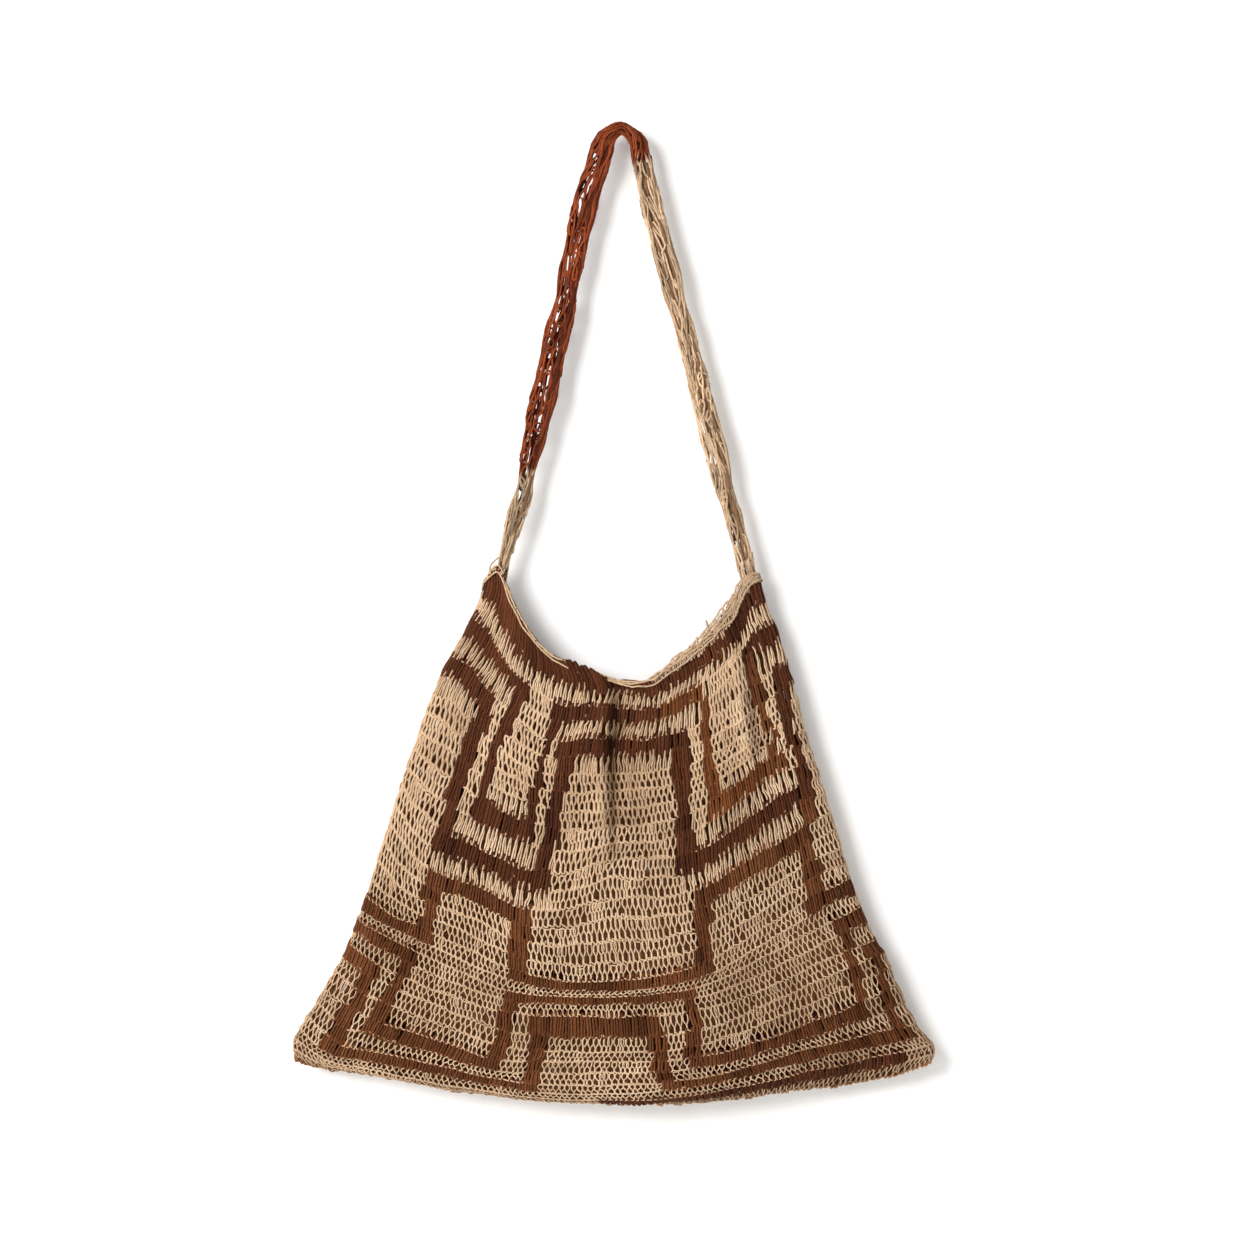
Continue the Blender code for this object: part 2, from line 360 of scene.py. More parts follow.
def even_shares(points, values, count):
    """Points and values at even shares of the length of a polyline."""
    length = np.concatenate([[0], np.cumsum(np.linalg.norm(np.diff(points, axis=0), axis=1))])
    even = np.linspace(0, length[-1], count)
    spread = np.stack([np.interp(even, length, points[:, axis]) for axis in range(3)], axis=1)
    return spread, np.interp(even, length, values), length[-1]


def surface_grid():
    """Points, outward normals and fraction across on a closed grid of courses by ring places."""
    even = np.linspace(0, 1, 500)
    places = 0.3 * even + 0.7 * (1 - np.cos(math.pi * even)) / 2
    rows = np.arange(FIRST_ROW * ROWS_A_COURSE, COURSES * ROWS_A_COURSE + 1) / ROWS_A_COURSE
    points, fractions, rounds = [], [], []
    for course in rows:
        both = []
        for front in (True, False):
            row = bag_row(places, max(course, 0.0), front)
            if course < 0:
                row += (row - bag_row(places, 0.5, front)) * (-course / 0.5)
            both.append(even_shares(row, places, GRID_COLUMNS + 1))
        (ahead, ahead_f, a), (behind, behind_f, b) = both
        points.append(np.concatenate([ahead[:-1], behind[:0:-1]]))
        fractions.append(np.concatenate([ahead_f[:-1], behind_f[:0:-1]]))
        rounds.append(a + b)
    points = np.array(points)
    around = np.roll(points, -1, axis=1) - np.roll(points, 1, axis=1)
    down = np.gradient(points, axis=0)
    normal = np.cross(down, around)
    normal[-1] = normal[-2]
    normal /= np.linalg.norm(normal, axis=2, keepdims=True)
    return rows, points, -normal, np.array(fractions), np.array(rounds)


row_courses, grid_points, grid_normals, grid_fractions, ring_lengths = surface_grid()
if grid_normals[len(row_courses) // 2, GRID_COLUMNS // 2, 1] > 0:
    grid_normals = -grid_normals


def read_grid(grid, around, course):
    """The grid at ring places 0 to 2 and courses, by the mean of four corners weighted by nearness."""
    column = np.mod(around, 2.0) * GRID_COLUMNS
    row = np.clip((course - FIRST_ROW) * ROWS_A_COURSE, 0, len(row_courses) - 1.001)
    left = np.floor(column).astype(int)
    top = np.floor(row).astype(int)
    across = column - left
    below = row - top
    if grid.ndim > 2:
        across = across[..., None]
        below = below[..., None]
    left = left % (2 * GRID_COLUMNS)
    right = (left + 1) % (2 * GRID_COLUMNS)
    upper = grid[top, left] * (1 - across) + grid[top, right] * across
    lower = grid[top + 1, left] * (1 - across) + grid[top + 1, right] * across
    return upper * (1 - below) + lower * below


print("Grid", grid_points.shape)
print("Ring at the mouth", round(ring_lengths[3], 3), "m, at the base", round(ring_lengths[-1], 3), "m")

# %% [markdown]
# ## Slow wandering
#
# Nothing worked by hand is even. A sum of a few long waves with chance directions gives a value
# that drifts slowly from place to place, which shifts the loops a little together.


# %% Wandering values
def wanderer(length, waves=6):
    """A function of two values: the mean of sin(a x + b y + c), its wavelengths near one length."""
    turn = chance.uniform(0, 2 * math.pi, waves)
    size = chance.uniform(0.6, 1.7, waves) * 2 * math.pi / length
    start = chance.uniform(0, 2 * math.pi, waves)

    def value(first, second):
        phase = (
            np.multiply.outer(first, np.cos(turn) * size)
            + np.multiply.outer(second, np.sin(turn) * size)
            + start
        )
        return np.sin(phase).sum(axis=-1) / math.sqrt(waves / 2)

    return value


# %% [markdown]
# ## A string as a tube
#
# A string is a tube carried along its path. Five sides are enough for something a millimetre and
# a half thick, because smooth shading rounds them, and the count stays low over thousands of
# loops. One corner always points out of the bag, so the finish knows the outer side from the
# inner. A string with two ends has six sides, and two quads close each end.


# %% Tubes and pieces
def lay_string(path, outward, radius, dye, closed):
    """A tube: path + radius * (cos a * out + sin a * side), with a from 0 to 2 pi around it."""
    count = len(path)
    sides = 5 if closed else 6
    if closed:
        ahead = np.roll(path, -1, axis=0) - np.roll(path, 1, axis=0)
    else:
        ahead = np.gradient(path, axis=0)
    ahead /= np.linalg.norm(ahead, axis=1, keepdims=True)
    side = np.cross(outward, ahead)
    side /= np.linalg.norm(side, axis=1, keepdims=True)
    out = np.cross(ahead, side)
    angle = np.arange(sides) * 2 * math.pi / sides
    spokes = np.cos(angle)[:, None] * out[:, None] + np.sin(angle)[:, None] * side[:, None]
    points = path[:, None] + spokes * np.broadcast_to(radius, (count,))[:, None, None]
    steps = np.linalg.norm(np.roll(path, -1, axis=0) - path, axis=1)
    length = np.concatenate([[0], np.cumsum(steps)])
    ring = np.arange(count if closed else count - 1)[:, None]
    spot = np.arange(sides)[None, :]
    after, beside = (ring + 1) % count, (spot + 1) % sides
    near, far = ring * sides, after * sides
    quads = np.stack([near + spot, near + beside, far + beside, far + spot], axis=2)
    here = np.broadcast_to(length[ring], ring.shape[:1] + (sides,))
    later = np.broadcast_to(length[ring + 1], here.shape)
    low = np.broadcast_to(spot / sides, here.shape)
    high = np.broadcast_to((spot + 1) / sides, here.shape)
    lay = np.stack([here, low, here, high, later, high, later, low], axis=2)
    quads = quads.reshape(-1, 4)
    lay = lay.reshape(-1, 4, 2)
    if not closed:
        last = (count - 1) * sides
        # a six-sided end is closed by two quads
        caps = np.array([np.arange(sides)[::-1], last + np.arange(sides)])
        caps = caps[:, [[0, 1, 2, 3], [0, 3, 4, 5]]].reshape(-1, 4)
        quads = np.concatenate([quads, caps])
        lay = np.concatenate([lay, np.zeros((len(caps), 4, 2))])
    dye = np.broadcast_to(np.asarray(dye, float), (count, 3))
    return points.reshape(-1, 3), quads, lay, np.repeat(dye, sides, axis=0)


def make_piece(name, strings, finish, slot, *nodes):
    """One mesh of many strings, riding on the bag's body in place of the CAD nodes."""
    start = np.cumsum([0] + [len(part[0]) for part in strings])
    points = np.concatenate([part[0] for part in strings])
    quads = np.concatenate([part[1] + first for part, first in zip(strings, start)])
    lay = np.concatenate([part[2] for part in strings])
    dye = np.concatenate([part[3] for part in strings])
    mesh = bpy.data.meshes.new(name)
    mesh.vertices.add(len(points))
    mesh.vertices.foreach_set("co", points.ravel())
    mesh.loops.add(quads.size)
    mesh.loops.foreach_set("vertex_index", quads.ravel())
    mesh.polygons.add(len(quads))
    mesh.polygons.foreach_set("loop_start", np.arange(len(quads)) * 4)
    mesh.polygons.foreach_set("loop_total", np.full(len(quads), 4))
    mesh.update(calc_edges=True)
    mesh.uv_layers.new(name="string_lay").data.foreach_set("uv", lay.ravel())
    colours = np.concatenate([dye, np.ones((len(dye), 1))], axis=1)
    mesh.color_attributes.new("dye", "FLOAT_COLOR", "POINT").data.foreach_set("color", colours.ravel())
    mesh.shade_smooth()
    mesh.materials.append(finish)
    thing = bpy.data.objects.new(name, mesh)
    bpy.context.scene.collection.objects.link(thing)
    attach(thing, "root")
    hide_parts(*nodes)
    print(name, len(strings), "strings,", 2 * len(quads), "triangles")
    return thing


# %% [markdown]
# ## The string's finish
#
# The string is two thin plies of plant fibre rolled together on the thigh. Each ply shows as a
# slanting groove, so the bump is a wave of the distance along the string plus the angle round it.
# The dye comes from the mesh, loop by loop. The ply wave also darkens the colour in the grooves, as
# painted shade. The side that faces into the bag is darkened as painted shade, so the holes through the
# net look deep.


# %% String material
def string_finish(name, roughness, fibre_contrast, painted_inner_shade):
    """Dye * fibre noise * ply wave * slow drift, with painted shade in the ply grooves and a painted
    shade colour on the side facing into the bag.
    """
    material, shader, flow = new_material(name)
    lay = flow.node("UVMap", {"uv_map": "string_lay"})
    parts = flow.node("SeparateXYZ", Vector=lay)
    along = parts
    turn = Flow(flow.tree, parts.socket.node.outputs[1])
    dye = flow.node("Attribute", {"attribute_name": "dye"})
    ply = 0.5 + 0.5 * (along * (2 * math.pi / 0.0042) + turn * (4 * math.pi)).cosine()
    outer = 0.5 + 0.5 * (turn * (2 * math.pi)).cosine()
    spot = flow.node("TexCoord", output=3)
    fibre = flow.node("TexNoise", Vector=spot, Scale=900.0, Detail=2.0, Roughness=0.6)
    drift = flow.node("TexNoise", Vector=spot, Scale=24.0, Detail=2.0, Roughness=0.5)
    worn = (1 - fibre_contrast) + fibre_contrast * 2 * fibre
    # the ply wave darkens the grooves between the plies, a painted shade; the fibre noise and the drift
    # are the string's own tone
    light = worn * (0.86 + 0.14 * ply) * (0.86 + 0.28 * drift)
    mixing = {"data_type": "RGBA"}
    # painted shade: on the side of each string that faces into the bag, the colour goes down to the given
    # dark colour
    inner_shade_mix = flow.node("Mix", mixing, output=2, n0=outer, n6=(*painted_inner_shade, 1), n7=(1, 1, 1, 1))
    grey = flow.node("VectorMath", {"operation": "SCALE"}, n0=inner_shade_mix, n3=light)
    mixing = {"data_type": "RGBA", "blend_type": "MULTIPLY"}
    colour = flow.node("Mix", mixing, output=2, n0=1.0, n6=dye, n7=grey)
    flow.tree.links.new(colour.socket, shader.inputs["Base Color"])
    height = ply * 0.8 + fibre * 0.4
    bump = flow.node("Bump", Strength=0.5, Distance=0.0002, Height=height)
    flow.tree.links.new(bump.socket, shader.inputs["Normal"])
    shader.inputs["Roughness"].default_value = roughness
    shader.inputs["Specular IOR Level"].default_value = 0.15
    return material


# the last colour of each is the painted shade on the side of the string facing into the bag
net_finish = string_finish("net_string_finish", 0.85, 0.10, (0.36, 0.19, 0.095))
strap_finish = string_finish("strap_string_finish", 0.72, 0.12, (0.42, 0.32, 0.25))

# %% [markdown]
# ## The pattern, charted
#
# Nested stepped bands are an old pattern of these bags. A band is either worked along one course,
# from one place across to another, or down through several courses in a few columns. The two
# tables say which loops take dyed string. The back is worked from the same chart.

# %% Dyes and chart
DYES = {
    "tan": linear(199, 169, 137),
    "strap tan": linear(194, 164, 132),
    "dark": linear(79, 41, 20),
    "brown": linear(96, 55, 28),
    "orange": linear(108, 62, 30),
    "rust": linear(123, 55, 25),
}
# Bands along a course: course, from and to across, dye
BANDS = (
    (0, 0.0, 1.0, "dark"),
    (2, 0.0, 0.186, "dark"),
    (2, 0.29, 0.640, "dark"),
    (2, 0.640, 0.735, "orange"),
    (2, 0.88, 1.0, "dark"),
    (4, 0.0, 0.116, "dark"),
    (4, 0.345, 0.679, "dark"),
    (4, 0.965, 1.0, "dark"),
    (9, 0.172, 0.301, "dark"),
    (9, 0.754, 0.918, "orange"),
    (11, 0.107, 0.340, "dark"),
    (11, 0.681, 0.960, "dark"),
    (13, 0.112, 0.320, "brown"),
    (13, 0.703, 0.941, "brown"),
    (17, 0.0, 0.126, "brown"),
    (17, 0.318, 0.692, "brown"),
    (17, 0.924, 1.0, "brown"),
    (19, 0.0, 0.109, "brown"),
    (19, 0.310, 0.656, "brown"),
    (19, 0.957, 1.0, "brown"),
    (21, 0.0, 0.053, "brown"),
    (21, 0.366, 0.574, "brown"),
    (21, 0.983, 1.0, "brown"),
    (24, 0.091, 0.299, "brown"),
    (24, 0.643, 0.930, "brown"),
    (26, 0.046, 0.367, "brown"),
    (26, 0.590, 0.967, "brown"),
    (28, 0.480, 0.950, "dark"),
)
# Bands down through the courses: first and last course, place across at both, width, dye
ARMS = (
    (2, 9, 0.186, 0.172, 8.0, "dark"),
    (2, 9, 0.293, 0.301, 7.5, "dark"),
    (2, 2, 0.733, 0.733, 9.5, "orange"),
    (3, 9, 0.757, 0.755, 9.5, "orange"),
    (2, 9, 0.902, 0.918, 9.5, "brown"),
    (4, 4, 0.114, 0.114, 13.0, "dark"),
    (5, 11, 0.129, 0.107, 13.0, "dark"),
    (4, 5, 0.345, 0.357, 14.5, "dark"),
    (6, 11, 0.358, 0.342, 14.5, "dark"),
    (4, 11, 0.679, 0.681, 16.0, "dark"),
    (4, 11, 0.965, 0.962, 11.5, "dark"),
    (12, 12, 0.957, 0.957, 11.0, "brown"),
    (13, 17, 0.112, 0.126, 16.0, "brown"),
    (13, 17, 0.308, 0.318, 17.5, "brown"),
    (13, 17, 0.703, 0.692, 17.0, "brown"),
    (13, 17, 0.934, 0.924, 15.0, "brown"),
    (19, 24, 0.109, 0.091, 13.0, "brown"),
    (19, 24, 0.310, 0.299, 15.5, "brown"),
    (19, 24, 0.656, 0.643, 14.5, "brown"),
    (19, 24, 0.953, 0.931, 10.5, "brown"),
    (21, 26, 0.053, 0.046, 13.5, "brown"),
    (21, 26, 0.366, 0.367, 16.0, "brown"),
    (21, 26, 0.580, 0.594, 17.0, "brown"),
    (21, 26, 0.985, 0.971, 10.5, "brown"),
)


def charted(course, across, width):
    """The dye's name for each loop of one course: tan, unless a band or an arm covers it."""
    names = np.full(len(across), "tan", dtype="<U8")
    for first, last, start, end, size, name in ARMS:
        if first <= course <= last:
            middle = start + (end - start) * (course - first) / max(1, last - first)
            names[np.abs(across - middle) < size * UNIT / width / 2] = name
    for row, start, end, name in BANDS:
        if row == course:
            names[(across >= start - 0.004) & (across <= end + 0.004)] = name
    return names


print(len(BANDS), "bands and", len(ARMS), "arms charted")

# %% [markdown]
# ## One loop, and the courses made of it
#
# The string runs along the foot of the row, rises, turns over the foot of the row above, comes down
# and runs on. How a loop hangs depends on how it is pulled, and fourteen points draw each way. In
# an open panel its legs lean on the neighbours' legs above and on each other below, so each row
# has two rows of holes, the lower ones between the upper ones. Next to a stripe the loop is drawn
# long and thin, like the tooth of a comb. In a stripe and on the back the legs stand close and
# even, with no hole. A course repeats the loop all the way round as one closed string, and each
# course is shifted half a loop from the one above.

# %% Loops and creases
STRING_RADIUS = 0.00060
# ways a loop hangs: across in loops, up in courses, out in string thicknesses
OPEN_LOOP = (
    (-0.50, -0.02, 0.30),
    (-0.08, -0.02, 0.35),
    (-0.05, 0.12, 0.20),
    (-0.05, 0.34, 0.05),
    (0.26, 0.50, -0.25),
    (0.47, 0.64, -0.25),
    (0.45, 0.86, -0.05),
    (0.18, 1.03, 0.10),
    (-0.16, 1.03, 0.15),
    (-0.45, 0.86, 0.15),
    (-0.47, 0.64, 0.15),
    (-0.26, 0.50, 0.25),
    (0.05, 0.34, 0.35),
    (0.05, 0.12, 0.30),
)
COMB_LOOP = (
    (-0.50, -0.03, 0.05),
    (-0.30, -0.02, 0.25),
    (-0.23, 0.12, 0.28),
    (-0.22, 0.40, 0.28),
    (-0.14, 0.66, 0.28),
    (-0.05, 0.95, 0.32),
    (0.01, 1.17, 0.20),
    (0.05, 1.14, -0.05),
    (0.06, 0.95, -0.20),
    (0.16, 0.68, -0.20),
    (0.23, 0.46, -0.18),
    (0.24, 0.22, -0.12),
    (0.28, 0.04, -0.02),
    (0.40, -0.03, 0.02),
)
CLOSE_LOOP = (
    (-0.40, -0.02, 0.10),
    (-0.27, 0.06, 0.25),
    (-0.25, 0.25, 0.25),
    (-0.25, 0.50, 0.22),
    (-0.25, 0.75, 0.25),
    (-0.22, 0.97, 0.30),
    (-0.10, 1.10, 0.15),
    (0.08, 1.12, -0.10),
    (0.20, 1.00, -0.30),
    (0.25, 0.75, -0.25),
    (0.25, 0.50, -0.22),
    (0.25, 0.25, -0.20),
    (0.27, 0.06, -0.15),
    (0.40, -0.03, 0.00),
)
LOOPS = np.array((OPEN_LOOP, COMB_LOOP, CLOSE_LOOP))
OPEN, COMB, CLOSE = range(3)
LOOP_POINTS = LOOPS.shape[1]
TIP_RISE = (0.0, 0.03, 0.09)  # how much further the tips of each way reach, in courses
LAST_COMBED = 13  # below this course the rows beside a stripe hang open
FIRST_LOOPS, LAST_LOOPS = 82, 121  # across the front, in the first course and the last
# the back is drawn together, so its string covers more: at the first courses and the last
BACK_THICKNESS = (1.50, 1.95)
# duller spots of the tan string: place across, course, size of both, share of light taken off
DULL_SPOTS = (
    (0.81, 6.0, 0.06, 5.0, 0.20),
    (0.04, 8.0, 0.08, 6.0, 0.12),
    (0.50, 8.0, 0.14, 4.0, -0.07),
    (0.50, 19.0, 0.20, 4.0, 0.04),
    (0.50, 30.0, 0.60, 5.0, 0.12),
)
# where the first loops stand up over the edging: place across and size
STANDING = ((0.365, 0.055), (0.91, 0.070))
DYED_THICKNESS = {"tan": 1.0, "dark": 1.50, "brown": 1.38, "orange": 1.48}
# Sharp creases of the front: first and last course, place across at both, width and depth in metres
CREASES = (
    (-1.0, 11.5, 0.424, 0.492, 0.0044, -0.0024),
    (-1.0, 12.0, 0.461, 0.522, 0.0026, 0.0040),
    (-1.0, 10.0, 0.490, 0.548, 0.0080, 0.0014),
    (1.0, 10.0, 0.865, 0.845, 0.0040, -0.0016),
    (1.0, 10.5, 0.893, 0.872, 0.0034, 0.0030),
)

slide = wanderer(0.10)
rise = wanderer(0.12)
lean = wanderer(0.08)
crowd = wanderer(0.035)
sway = wanderer(0.09)
bulge = wanderer(0.16)
shade = wanderer(0.22)
shade_fine = wanderer(0.05)


def crease_depth(across, course, width):
    """Depth of the sharp creases: depth * sin(pi * along)^0.5 * exp(-(distance / size)^2)."""
    pushed = np.zeros_like(across)
    for start, end, first, last, size, depth in CREASES:
        along = np.clip((course - start) / (end - start), 0, 1)
        away = (across - (first + (last - first) * along)) * width / size
        pushed += depth * np.sqrt(np.sin(math.pi * along)) * np.exp(-(away**2))
    return pushed


def dullness(across, course):
    """Share of light taken off tan string: the sum of share * exp(-(across)^2 - (course)^2)."""
    taken = np.zeros_like(across)
    for place_across, row, size, reach, share in DULL_SPOTS:
        away = ((across - place_across) / size) ** 2 + ((course - row) / reach) ** 2
        taken += share * np.exp(-away)
    return taken


def standing_up(across):
    """How far the first loops stand up: the sum of exp(-(distance / size)^2) over the places."""
    return sum(np.exp(-(((across - place_across) / size) ** 2)) for place_across, size in STANDING)


# %% A course of loops
def loops_across(course):
    """Loops in one half of a course: from the first count to the last in even steps."""
    return round(FIRST_LOOPS + (LAST_LOOPS - FIRST_LOOPS) * course / (COURSES - 1))


def net_course(course):
    """One closed string: every loop's points read from the surface at its ring place and course."""
    half = loops_across(course)
    count = 2 * half
    middle = (np.arange(count) + 0.5 + 0.5 * (course % 2))[:, None]
    level = np.full((count, 1), course / 20)
    table = np.array(COURSE_TABLE)
    width = np.interp(course, table[:, 0], table[:, 2] - table[:, 1]) * UNIT
    centre = np.mod(middle[:, 0] / half, 2.0)
    rear = centre > 1
    across = read_grid(grid_fractions, centre, np.full(count, course + 0.5))
    names = charted(course, across, width)
    stripe = names != "tan"
    beside = (charted(course - 1, across, width) != "tan") | (charted(course + 1, across, width) != "tan")
    way = np.where(stripe | rear, CLOSE, np.where(beside & (course < LAST_COMBED), COMB, OPEN))
    loop = LOOPS[way]
    steady = np.array((0.55, 1.0, 0.5))[way][:, None]
    spread = 1 + steady * chance.normal(0, 0.12, (count, 1))
    shift = steady * chance.normal(0, 0.07, (count, 1))
    shift += 0.25 * slide(middle / half, level) + 0.14 * crowd(middle / half, level)
    tall = steady * chance.normal(0, 0.10, (count, 1)) + 0.05 * rise(middle / half, level)
    slant = steady * (chance.normal(0, 0.06, (count, 1)) + 0.20 * lean(middle / half, level))
    bend = steady * chance.normal(0, 0.12, (count, 1)) * np.sin(2 * math.pi * loop[:, :, 1])
    up = loop[:, :, 1] + (tall + np.array(TIP_RISE)[way][:, None]) * (loop[:, :, 1] > 0.9)
    around = (middle + loop[:, :, 0] * spread + slant * (loop[:, :, 1] - 0.4) + shift + bend) / half
    around, down = around.ravel(), (course + 1 - up).ravel()
    inner = np.clip(np.minimum(down, COURSES - down) / 2, 0, 1)
    down = down + 0.03 * inner * sway(around, down / 20)
    # at two places the first loops stand up over the edging or behind its strip
    standing = np.repeat(standing_up(across) * ~rear, LOOP_POINTS) * (course == 0)
    down = down - 0.10 * standing * (loop[:, :, 1].ravel() > 0.9)
    highest = np.repeat(np.where(rear, 0.08, -0.03), LOOP_POINTS) - 0.25 * standing
    down = np.clip(down, highest if course == 0 else FIRST_ROW, COURSES - 0.02)
    path = read_grid(grid_points, around, down)
    outward = read_grid(grid_normals, around, down)
    outward /= np.linalg.norm(outward, axis=1, keepdims=True)
    lift = loop[:, :, 2].ravel() * 2 * STRING_RADIUS + 0.0003 * bulge(around, down / 10)
    path += outward * (lift - NET_MIDDLE)[:, None]
    here = read_grid(grid_fractions, around, down)
    pressed = crease_depth(here, down, width) * np.repeat(~rear, LOOP_POINTS)
    path[:, 1] += pressed
    hanging = np.repeat(np.abs(chance.normal(0, 0.0007, count)), LOOP_POINTS)
    path[:, 2] -= hanging * np.clip(down - (COURSES - 1.5), 0, 1)
    dye = np.array([DYES[name] for name in names])
    tint = 1 + 0.09 * shade(centre * 0.3, level[:, 0] / 3) + chance.normal(0, 0.05, count)
    tint += np.where(stripe, 0.13, 0.06) * shade_fine(centre * 0.3, level[:, 0] / 3)
    tint += stripe * chance.normal(0, 0.12, count)
    # painted shade darkens the loops in the creases, and their crests are drawn together
    deep = crease_depth(across, np.full(count, course + 0.5), width) * ~rear
    tint *= 1 - 0.48 * np.clip(deep / 0.004, 0, 1) * np.clip((10 - course) / 4, 0, 1)
    tint *= 1 - dullness(across, course) * ~stripe
    # the darker, the warmer: green and blue fall off faster than red
    dye = dye * np.clip(tint, 0.35, 1.4)[:, None] ** (1.0, 1.2, 1.4)
    dye = np.repeat(dye, LOOP_POINTS, axis=0)
    thick = np.clip(chance.normal(1, 0.06, count), 0.85, 1.15)
    thick *= np.where(rear, np.interp(course, (10, 19), BACK_THICKNESS), 1.0)
    thick *= np.where(rear, 1.0, [DYED_THICKNESS[name] for name in names])
    open_thick = np.interp(course, (8, 16, 27), (1.25, 0.84, 0.76))
    open_thick = open_thick * (1 + 0.14 * np.exp(-((across / 0.12) ** 2)) * (course < 16))
    thick *= np.where(way == OPEN, open_thick, 1.0)
    thick *= 1 + 0.45 * np.clip(-deep / 0.0022, 0, 1)
    return lay_string(path, outward, STRING_RADIUS * np.repeat(thick, LOOP_POINTS), dye, True)


COURSES_A_PIECE = 5
net_pieces = []
for first in range(0, COURSES, COURSES_A_PIECE):
    strings = [net_course(course) for course in range(first, first + COURSES_A_PIECE)]
    name = f"net_courses_{first + 1}_to_{first + COURSES_A_PIECE}"
    net_pieces.append(make_piece(name, strings, net_finish, "net_string", "bag_body"))

# %% [markdown]
# ## The edging
#
# Three loose tan strings run along the mouth, where the first course hangs from them. On
# the right half they widen into a strip of short loops, worked after the bag was finished.

# %% Edging strings and strip
# height above the rim in metres: fraction across, height
EDGING_HEIGHTS = (
    (0.0, 0.0012), (0.5, 0.0013), (0.62, 0.0018), (0.70, 0.0032), (0.76, 0.0048), (0.80, 0.0060),
    (0.86, 0.0066), (0.91, 0.0064), (0.95, 0.0048), (1.0, 0.0020),
)
RISE_OF_A_COURSE = 0.5
EDGE_RADIUS = 0.00058
# strings all round the mouth: share of the height, drop below it and distance out, in metres
ROUND_STRINGS = ((0.10, 0.0022, 0.0016), (0.50, 0.0002, 0.0008), (1.00, -0.0004, 0.0006))
# strings of the strip alone: share of the height, where they start across
STRIP_STRINGS = ((0.06, 0.74), (0.18, 0.60), (0.40, 0.57), (0.62, 0.62), (0.82, 0.66))
# the loose string at the left corner: across, down
LOOSE_LOOP = ((482, 590), (484, 581), (489.5, 572.5), (490.5, 566), (495, 560.5), (501, 556))


def rim_points(around, lift, out):
    """Points above the rim: the rim, plus lift along the direction from course 0.5 up to course 0."""
    rim = read_grid(grid_points, around, np.zeros_like(around))
    below = read_grid(grid_points, around, np.full_like(around, RISE_OF_A_COURSE))
    upward = rim - below
    upward /= np.linalg.norm(upward, axis=1, keepdims=True)
    outward = read_grid(grid_normals, around, np.zeros_like(around))
    outward /= np.linalg.norm(outward, axis=1, keepdims=True)
    return rim + upward * lift[:, None] + outward * (out - NET_MIDDLE)[:, None], outward


def edging_height(around):
    """The strip's height at ring places, a third as much on the back, eased between the two."""
    across = read_grid(grid_fractions, around, np.zeros_like(around))
    heights = np.array(EDGING_HEIGHTS)
    back = np.clip((np.mod(around, 2.0) - 0.97) / 0.06, 0, 1)
    return np.interp(across, heights[:, 0], heights[:, 1]) * (1 - 0.65 * back)


def tan_tint(count):
    """Tan string, each loop a little lighter or darker."""
    tint = np.clip(chance.normal(0.84, 0.10, count), 0.6, 1.1)
    return np.array(DYES["tan"]) * np.repeat(tint, LOOP_POINTS)[:, None]


def edging_strings():
    """Three strings round the mouth, the strip's own strings and loops, and one loose string."""
    strings = []
    tan = np.array(DYES["tan"])
    for share, drop, out in ROUND_STRINGS:
        around = np.arange(0, 2, 1 / 180)
        waver = wanderer(0.10)
        fine = wanderer(0.03)
        none = np.zeros_like(around)
        # the closed string meets itself, so the wandering fades out towards both ends
        calm = np.clip(np.minimum(around, 2 - around) * 12, 0, 1)
        lift = share * edging_height(around) - drop + 0.0006 * calm * waver(around, none)
        lift += 0.0002 * calm * fine(around, none)
        across = read_grid(grid_fractions, around, none)
        tucked = 0.0026 * standing_up(across) * (around < 0.6)
        path, outward = rim_points(around, lift, out - tucked + 0.0003 * calm * fine(around, none + 1))
        strings.append(lay_string(path, outward, EDGE_RADIUS, tan * (0.94 + 0.05 * share), True))
    for share, start in STRIP_STRINGS:
        around = np.linspace(start, 0.985, 90)
        waver = wanderer(0.05)
        none = np.zeros_like(around)
        lift = share * edging_height(around) + 0.0005 * waver(around, none)
        path, outward = rim_points(around, lift, 0.0010 + 0.0004 * waver(around, none + 1))
        strings.append(lay_string(path, outward, EDGE_RADIUS, tan * (0.84 + 0.12 * share), False))
    # the strip of short loops, on the right of the front and back
    for start, end in ((0.60, 0.995), (1.01, 1.30)):
        count = round((end - start) * 92)
        middle = (start + (np.arange(count) + 0.5) / count * (end - start))[:, None]
        pitch = (end - start) / count
        shape = LOOPS[COMB]
        leaning = np.repeat(chance.normal(0.9, 0.35, count), LOOP_POINTS) * np.tile(shape[:, 1], count)
        around = (middle + shape[None, :, 0] * pitch * 1.05).ravel() + leaning * pitch
        around = np.clip(around, 0.5, 1.45)
        uneven = np.repeat(chance.normal(1, 0.20, count), LOOP_POINTS)
        foot = np.clip(0.5 - np.tile(shape[:, 1], count), 0, 0.5) * 2
        dropped = np.repeat(np.abs(chance.normal(0, 0.0015, count)), LOOP_POINTS) * foot
        lift = (np.tile(shape[:, 1], count) * 1.15 - 0.32) * edging_height(around) * uneven - dropped
        path, outward = rim_points(around, lift, 0.0006 + np.tile(shape[:, 2], count) * 0.0011)
        strings.append(lay_string(path, outward, EDGE_RADIUS, tan_tint(count), False))
    # one string stands off the left corner and runs up into the strap
    loop_out = np.array([place(x, y, -0.001) for x, y in LOOSE_LOOP])
    shares = np.linspace(0, len(loop_out) - 1, 24)
    loose = smooth(np.arange(len(loop_out)), loop_out, shares)
    facing = np.tile((0.0, -1.0, 0.0), (24, 1))
    strings.append(lay_string(loose, facing, EDGE_RADIUS, tan * 0.8, False))
    return strings


